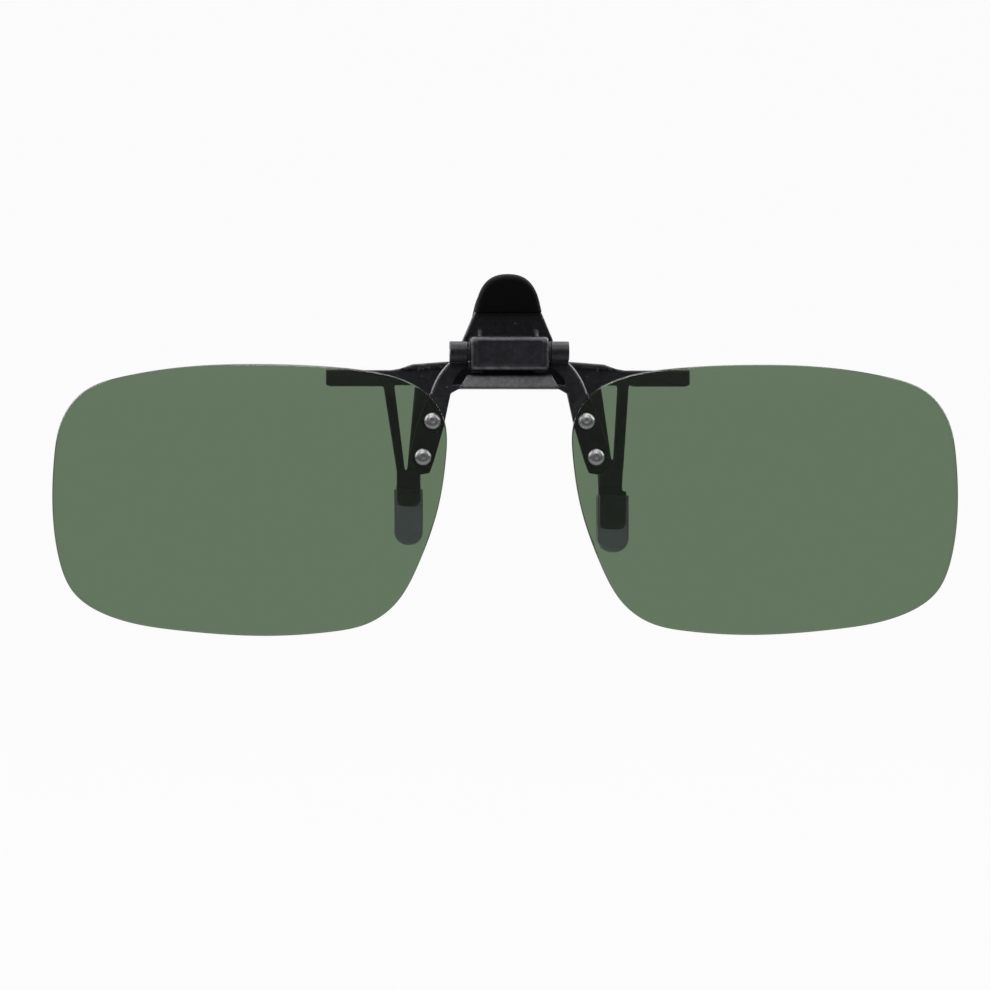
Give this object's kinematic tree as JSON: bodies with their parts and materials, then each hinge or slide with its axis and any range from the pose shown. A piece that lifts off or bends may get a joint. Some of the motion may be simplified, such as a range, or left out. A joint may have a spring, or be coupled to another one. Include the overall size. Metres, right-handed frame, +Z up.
{
  "type": "clip-on sunglasses",
  "caption": "Flip-up clip-on sunglasses: green rimless lenses riveted to a hinged yoke on a spring clamp that grips spectacles.",
  "frame": {"origin": "on the clamp plane between the front and rear grip sleeves, at the nose's middle, level with the underside of the bars that rest on the spectacle rim", "axes": "+X to the right seen from the front, +Y backwards through the clamp plane towards the wearer's face, +Z up; left and right in names are as seen from the front"},
  "size_m": [0.1318, 0.0179, 0.0524],
  "materials": {
    "black_plastic": "injection moulded, semi-gloss, fine grain",
    "green_lens": "tinted clear plastic, polished",
    "cap_rubber": "soft matte",
    "grey_sleeve": "translucent soft vinyl",
    "rivet_steel": "polished dome",
    "pin_steel": "ground",
    "spring_steel": "drawn wire",
    "nylon_washer": "natural black nylon"
  },
  "bodies": {
    "clamp_frame": {"front_clamp_frame": "black_plastic", "flip_hinge_pin": "pin_steel", "flip_washer_left": "nylon_washer", "flip_washer_right": "nylon_washer", "jaw_pivot_pin": "pin_steel", "jaw_spring": "spring_steel", "front_grip_sleeve_left": "grey_sleeve", "front_grip_sleeve_right": "grey_sleeve", "front_finger_cap": "cap_rubber"},
    "rear_jaw": {"rear_jaw": "black_plastic", "rear_grip_sleeve_left": "grey_sleeve", "rear_grip_sleeve_right": "grey_sleeve", "rear_finger_cap": "cap_rubber"},
    "lens_carrier": {"lens_bridge": "black_plastic", "left_lens": "green_lens", "right_lens": "green_lens", "lens_rivet_left_upper": "rivet_steel", "lens_rivet_left_lower": "rivet_steel", "lens_rivet_right_upper": "rivet_steel", "lens_rivet_right_lower": "rivet_steel", "rivet_washer_left_upper": "rivet_steel", "rivet_washer_left_lower": "rivet_steel", "rivet_washer_right_upper": "rivet_steel", "rivet_washer_right_lower": "rivet_steel"}
  },
  "joints": [
    {"name": "lens_flip", "type": "hinge", "parent": "clamp_frame", "child": "lens_carrier", "pos_m": [0, -0.0066, 0.00495], "axis": [-1, 0, 0], "range_deg": [0, 120]},
    {"name": "jaw_open", "type": "hinge", "parent": "clamp_frame", "child": "rear_jaw", "pos_m": [0, 0.0026, 0.0034], "axis": [1, 0, 0], "range_deg": [0, 25], "stiffness_Nm_per_rad": 0.08, "springref_deg": -22.92, "deforming": ["jaw_spring"]}
  ]
}
